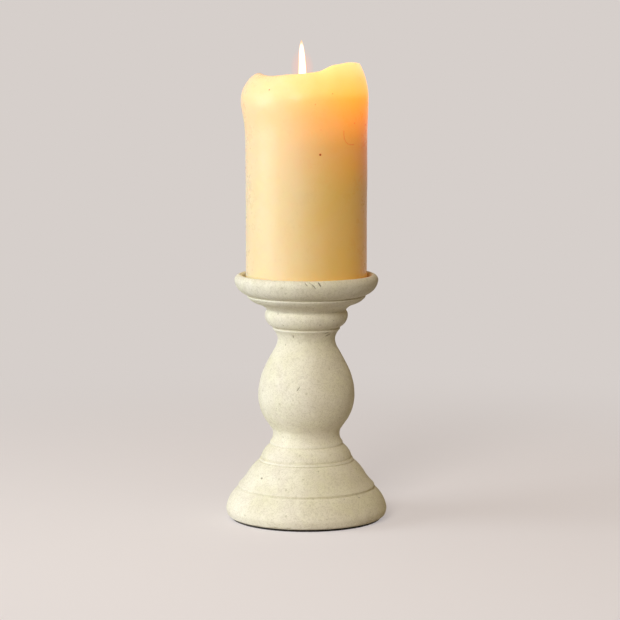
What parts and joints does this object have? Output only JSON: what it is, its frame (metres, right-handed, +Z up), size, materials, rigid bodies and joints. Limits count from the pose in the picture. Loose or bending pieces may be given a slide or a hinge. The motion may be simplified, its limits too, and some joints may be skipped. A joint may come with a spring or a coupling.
{
  "type": "pillar candle holder",
  "caption": "Turned cast-stone pillar candle holder: stepped round foot, baluster stem and shallow dish on a tie rod, holding a burning wax pillar that lifts out.",
  "frame": {"origin": "centre of the underside of the felt pad, where the holder stands", "axes": "+Z up along the turned axis, -Y the front, +X the right-hand side seen from the front (where the burned rim is highest)"},
  "size_m": [0.0932, 0.0932, 0.2746],
  "materials": {
    "cast_stone": "matte",
    "felt": "matte",
    "zinc_steel": "satin",
    "tinplate": "satin",
    "wax": "satin",
    "molten_wax": "gloss",
    "wick_cotton": "matte",
    "flame": "matte"
  },
  "bodies": {
    "holder": {"felt_pad": "felt", "foot": "cast_stone", "stem": "cast_stone", "candle_dish": "cast_stone", "tie_rod": "zinc_steel", "foot_washer": "zinc_steel", "foot_nut": "zinc_steel", "dish_washer": "zinc_steel", "dish_nut": "zinc_steel"},
    "candle": {"wax_pillar": "wax", "wick": "wick_cotton", "wick_tab": "tinplate", "melt_pool": "molten_wax", "flame": "flame"}
  },
  "joints": [
    {"name": "candle_lift", "type": "slide", "parent": "holder", "child": "candle", "axis": [0, 0, 1], "range_m": [0, 0.06]}
  ]
}
